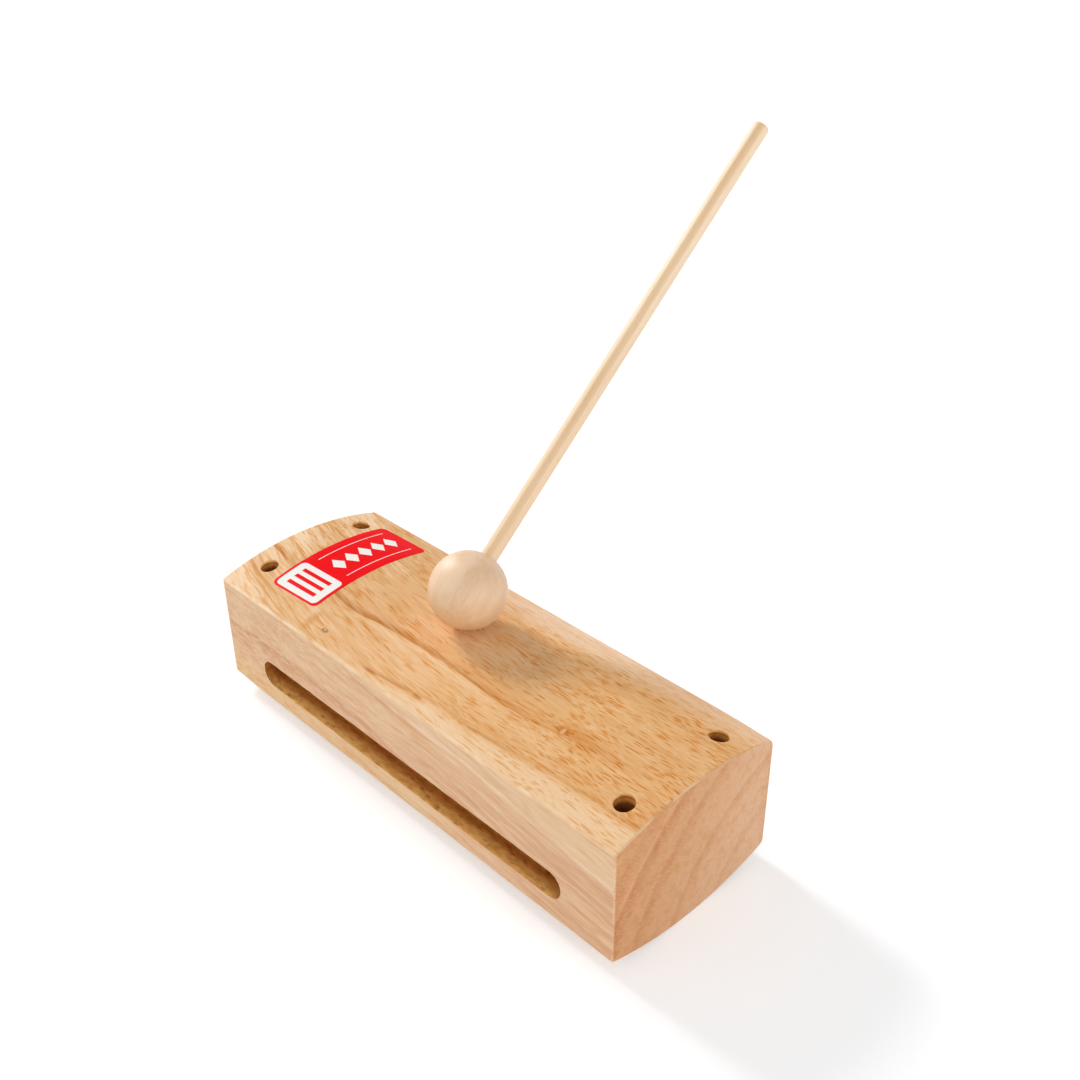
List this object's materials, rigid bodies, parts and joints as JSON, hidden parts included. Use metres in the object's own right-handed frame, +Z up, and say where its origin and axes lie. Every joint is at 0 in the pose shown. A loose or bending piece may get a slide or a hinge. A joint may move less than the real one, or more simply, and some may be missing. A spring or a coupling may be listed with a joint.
{
  "type": "wood block",
  "caption": "Percussion wood block with crowned top and bottom, a deep slot in each long side and cord holes, and a ball-headed beater that lifts off.",
  "frame": {"origin": "on the surface that the block stands on, under the middle of the outer box of block and beater", "axes": "+X along the block to its right end, -Y out of the front side that shows its slot below the middle, +Z up"},
  "size_m": [0.2, 0.1808, 0.201],
  "materials": {
    "hardwood": "sanded, thin satin lacquer",
    "printed_label": "glossy printed film",
    "beater_ball": "turned, satin lacquer",
    "beater_dowel": "planed dowel, satin"
  },
  "bodies": {
    "block": {"block": "hardwood", "label": "printed_label"},
    "beater": {"beater_head": "beater_ball", "beater_handle": "beater_dowel"}
  },
  "joints": [
    {"name": "beater_lift", "type": "slide", "parent": "block", "child": "beater", "axis": [0, 0, 1], "range_m": [0, 0.1]}
  ]
}
